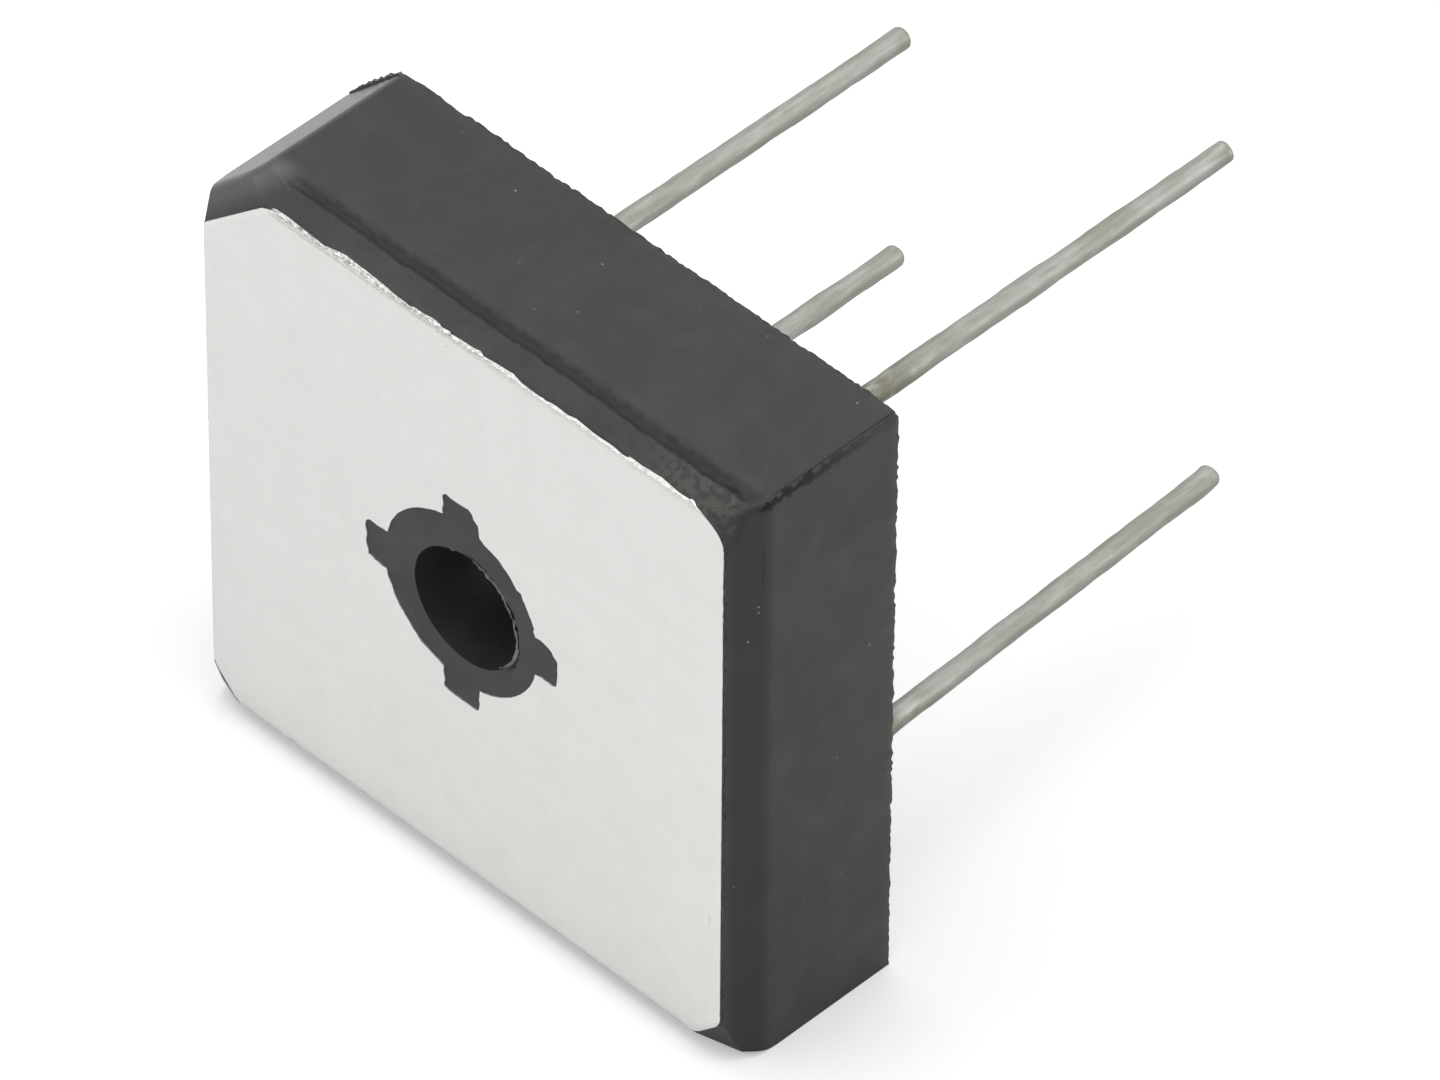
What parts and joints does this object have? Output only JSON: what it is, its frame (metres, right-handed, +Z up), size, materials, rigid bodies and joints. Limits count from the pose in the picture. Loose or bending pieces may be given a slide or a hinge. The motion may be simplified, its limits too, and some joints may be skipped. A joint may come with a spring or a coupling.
{
  "type": "bridge rectifier",
  "caption": "Square moulded bridge rectifier: metal heat-sink plate in front, central screw hole, one cut corner at the positive lead, round wire leads behind.",
  "frame": {"origin": "centre of the mounting hole, on the outer face of the metal plate", "axes": "-Y is the way the plate faces and +Y the way the leads point; with the plate towards the viewer +X is to the right and +Z up, and the cut corner is at the upper left; the part stands on its lower side face"},
  "size_m": [0.0286, 0.0324, 0.0286],
  "materials": {
    "plastic": "semi-gloss moulded epoxy, charcoal grey",
    "plate": "bare stamped sheet, smooth satin",
    "tin": "dull tinned wire",
    "copper": "bare copper strip",
    "silicon": "polished silicon die",
    "solder": "solidified solder"
  },
  "bodies": {
    "root": {"body": "plastic", "base_plate": "plate", "lead_positive": "tin", "lead_negative": "tin", "lead_ac_1": "tin", "lead_ac_2": "tin", "strap_positive": "copper", "strap_negative": "copper", "strap_ac_1": "copper", "strap_ac_2": "copper", "die_1": "silicon", "die_2": "silicon", "die_3": "silicon", "die_4": "silicon", "solder_1_lower": "solder", "solder_1_upper": "solder", "solder_2_lower": "solder", "solder_2_upper": "solder", "solder_3_lower": "solder", "solder_3_upper": "solder", "solder_4_lower": "solder", "solder_4_upper": "solder", "joint_positive": "solder", "joint_negative": "solder", "joint_ac_1": "solder", "joint_ac_2": "solder"}
  },
  "joints": []
}
